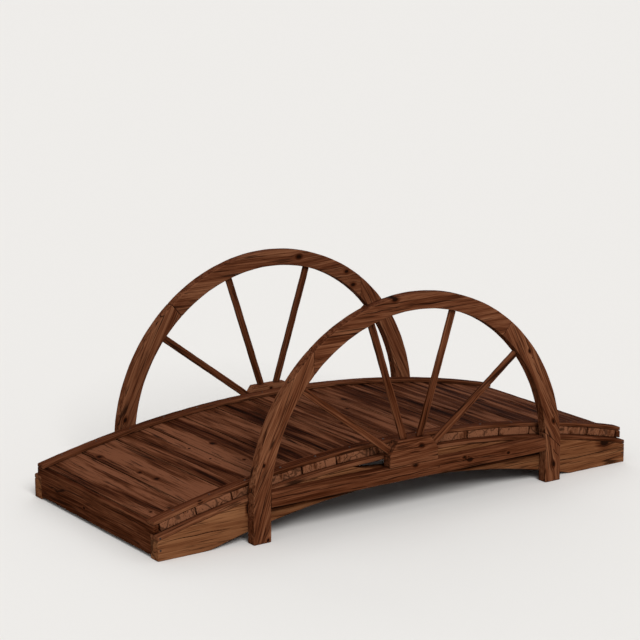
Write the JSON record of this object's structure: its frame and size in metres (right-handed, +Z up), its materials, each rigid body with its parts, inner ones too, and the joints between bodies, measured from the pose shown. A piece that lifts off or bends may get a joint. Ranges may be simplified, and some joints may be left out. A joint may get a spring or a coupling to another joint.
{
  "type": "wooden garden footbridge",
  "caption": "Small arched wooden footbridge with plank deck, side beams and half wheel handrails with spokes.",
  "frame": {"origin": "on the ground under the middle of the deck", "axes": "+X along the bridge, +Y across it to the far rail, +Z up"},
  "size_m": [1.54, 0.73, 0.595],
  "materials": {
    "deck_wood": "matt stain, worn",
    "beam_wood": "matt stain",
    "rail_wood": "matt stain"
  },
  "bodies": {
    "root": {"deck_plank_01": "deck_wood", "deck_plank_02": "deck_wood", "deck_plank_03": "deck_wood", "deck_plank_04": "deck_wood", "deck_plank_05": "deck_wood", "deck_plank_06": "deck_wood", "deck_plank_07": "deck_wood", "deck_plank_08": "deck_wood", "deck_plank_09": "deck_wood", "deck_plank_10": "deck_wood", "deck_plank_11": "deck_wood", "deck_plank_12": "deck_wood", "deck_plank_13": "deck_wood", "deck_plank_14": "deck_wood", "edge_strip_near": "deck_wood", "bearer_near": "beam_wood", "side_beam_near": "beam_wood", "rim_top_near": "rail_wood", "rim_left_near": "rail_wood", "rim_right_near": "rail_wood", "rail_foot_left_near": "rail_wood", "rail_foot_right_near": "rail_wood", "stretcher_near": "rail_wood", "hub_near": "rail_wood", "spoke_1_near": "rail_wood", "spoke_2_near": "rail_wood", "spoke_3_near": "rail_wood", "spoke_4_near": "rail_wood", "edge_strip_far": "deck_wood", "bearer_far": "beam_wood", "side_beam_far": "beam_wood", "rim_top_far": "rail_wood", "rim_left_far": "rail_wood", "rim_right_far": "rail_wood", "rail_foot_left_far": "rail_wood", "rail_foot_right_far": "rail_wood", "stretcher_far": "rail_wood", "hub_far": "rail_wood", "spoke_1_far": "rail_wood", "spoke_2_far": "rail_wood", "spoke_3_far": "rail_wood", "spoke_4_far": "rail_wood", "end_fascia_left": "beam_wood", "end_fascia_right": "beam_wood"}
  },
  "joints": []
}
